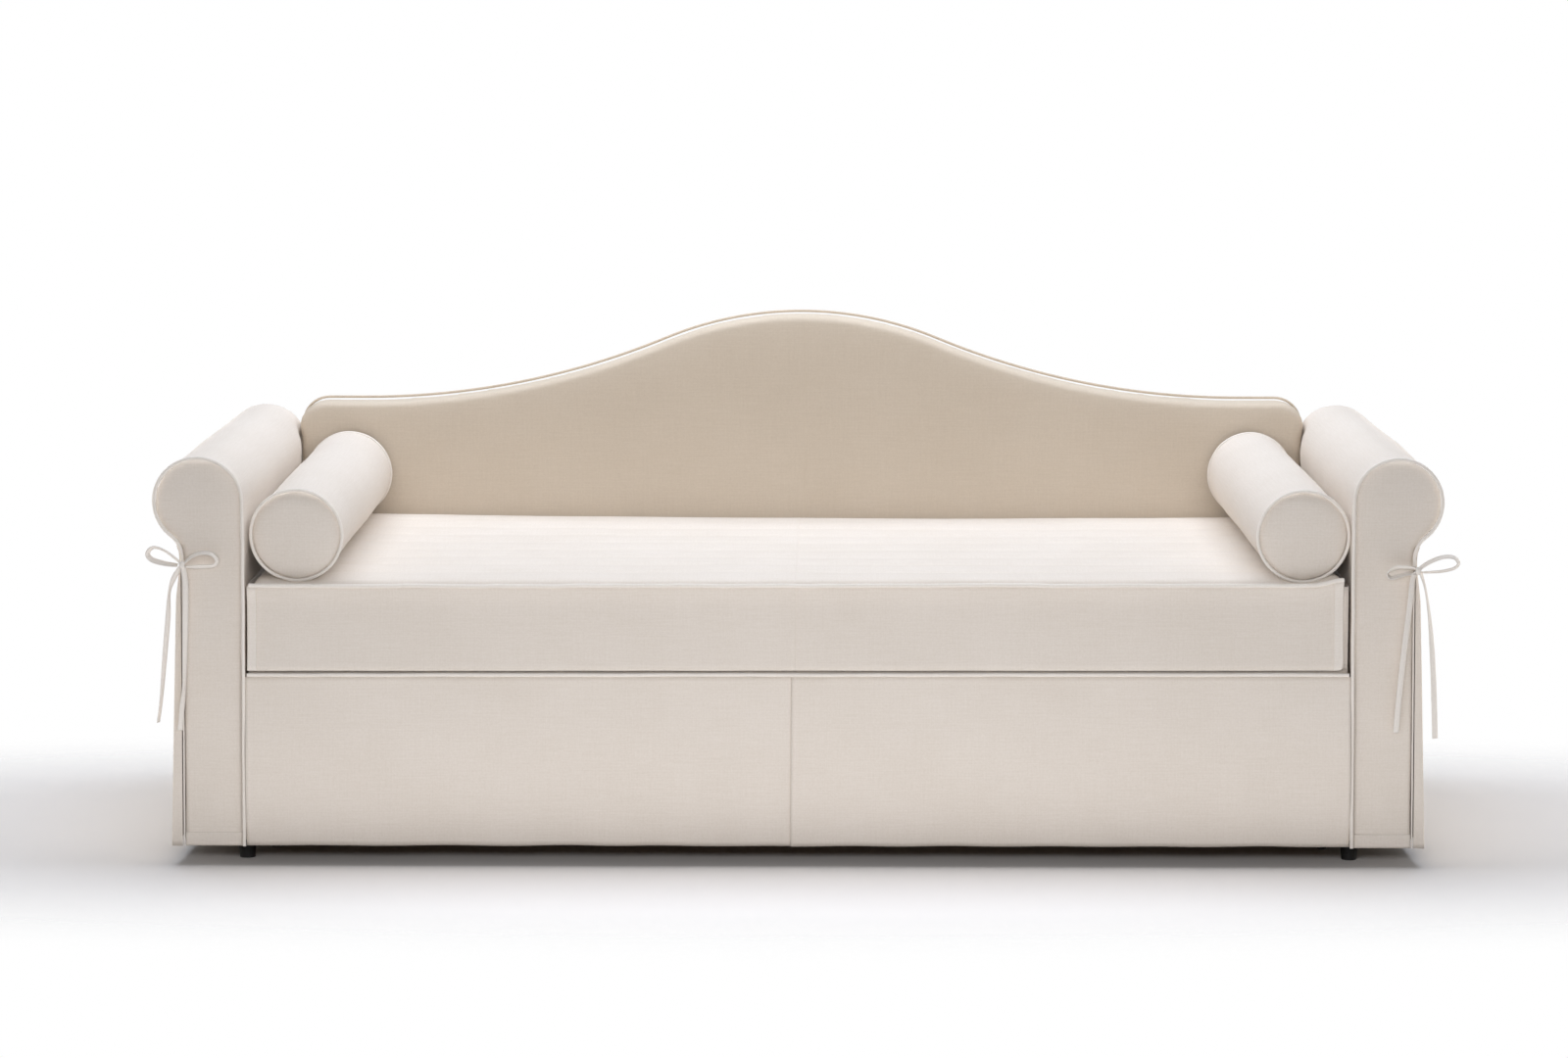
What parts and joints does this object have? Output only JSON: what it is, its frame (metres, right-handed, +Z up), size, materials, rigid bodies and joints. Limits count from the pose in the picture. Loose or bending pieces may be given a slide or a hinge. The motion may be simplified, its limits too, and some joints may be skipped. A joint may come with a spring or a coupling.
{
  "type": "trundle daybed",
  "caption": "Daybed in loose canvas covers with scroll arms, a camel back, bolsters and a channelled mattress; a second bed on castors rolls out from behind its skirt.",
  "frame": {"origin": "on the floor, under the middle of the daybed", "axes": "+X along the daybed to the right as seen from its front, +Y towards the back, +Z up"},
  "size_m": [2.258, 0.9192, 0.9005],
  "materials": {
    "canvas": "matte",
    "tape": "matte",
    "foam": "matte",
    "pine": "satin",
    "beech": "satin",
    "steel": "satin",
    "pressed_steel": "satin",
    "rubber": "matte",
    "plastic": "satin"
  },
  "bodies": {
    "daybed": {"arm_cover_left": "canvas", "arm_cover_right": "canvas", "arm_piping_left": "canvas", "arm_piping_right": "canvas", "back_cover": "canvas", "back_piping": "canvas", "mattress_cover": "canvas", "mattress_piping": "canvas", "tie_bow_left": "tape", "tie_bow_right": "tape", "tie_tails_left": "tape", "tie_tails_right": "tape", "arm_roll_left": "foam", "arm_roll_right": "foam", "back_pad": "foam", "mattress": "foam", "arm_panel_left": "pine", "arm_panel_right": "pine", "back_board": "pine", "base_rail_front": "pine", "base_rail_rear": "pine", "base_rail_left": "pine", "base_rail_right": "pine", "base_slats": "beech", "arm_bolt_front_left": "steel", "arm_bolt_front_right": "steel", "arm_bolt_rear_left": "steel", "arm_bolt_rear_right": "steel", "back_bolt_left": "steel", "back_bolt_right": "steel", "foot_front_left": "plastic", "foot_front_right": "plastic", "foot_rear_left": "plastic", "foot_rear_right": "plastic"},
    "trundle": {"skirt_left": "canvas", "skirt_right": "canvas", "skirt_pleat": "canvas", "skirt_piping": "canvas", "trundle_mattress": "foam", "trundle_front_board": "pine", "trundle_rail_front": "pine", "trundle_rail_rear": "pine", "trundle_rail_left": "pine", "trundle_rail_right": "pine", "trundle_slats": "beech", "castor_axle_front_left": "steel", "castor_axle_front_right": "steel", "castor_axle_rear_left": "steel", "castor_axle_rear_right": "steel", "castor_bracket_front_left": "pressed_steel", "castor_bracket_front_right": "pressed_steel", "castor_bracket_rear_left": "pressed_steel", "castor_bracket_rear_right": "pressed_steel"},
    "castor_front_left": {"castor_wheel_front_left": "rubber"},
    "castor_front_right": {"castor_wheel_front_right": "rubber"},
    "castor_rear_left": {"castor_wheel_rear_left": "rubber"},
    "castor_rear_right": {"castor_wheel_rear_right": "rubber"},
    "bolster_left": {"bolster_left": "canvas"},
    "bolster_right": {"bolster_right": "canvas"}
  },
  "joints": [
    {"name": "trundle_slide", "type": "slide", "parent": "daybed", "child": "trundle", "axis": [0, -1, 0], "range_m": [0, 0.8]},
    {"name": "castor_roll_front_left", "type": "hinge", "parent": "trundle", "child": "castor_front_left", "pos_m": [-0.9325, -0.2806, 0.0253], "axis": [1, 0, 0], "continuous": true},
    {"name": "castor_roll_front_right", "type": "hinge", "parent": "trundle", "child": "castor_front_right", "pos_m": [0.9325, -0.2806, 0.0253], "axis": [1, 0, 0], "continuous": true},
    {"name": "castor_roll_rear_left", "type": "hinge", "parent": "trundle", "child": "castor_rear_left", "pos_m": [-0.9325, 0.2175, 0.0253], "axis": [1, 0, 0], "continuous": true},
    {"name": "castor_roll_rear_right", "type": "hinge", "parent": "trundle", "child": "castor_rear_right", "pos_m": [0.9325, 0.2175, 0.0253], "axis": [1, 0, 0], "continuous": true},
    {"name": "bolster_lift_left", "type": "slide", "parent": "daybed", "child": "bolster_left", "axis": [0, 0, 1], "range_m": [0, 0.35]},
    {"name": "bolster_lift_right", "type": "slide", "parent": "daybed", "child": "bolster_right", "axis": [0, 0, 1], "range_m": [0, 0.35]}
  ],
  "couplings": [
    {"joint": "castor_roll_front_left", "follows": "trundle_slide", "rad_per_m": 40},
    {"joint": "castor_roll_front_right", "follows": "trundle_slide", "rad_per_m": 40},
    {"joint": "castor_roll_rear_left", "follows": "trundle_slide", "rad_per_m": 40},
    {"joint": "castor_roll_rear_right", "follows": "trundle_slide", "rad_per_m": 40}
  ]
}
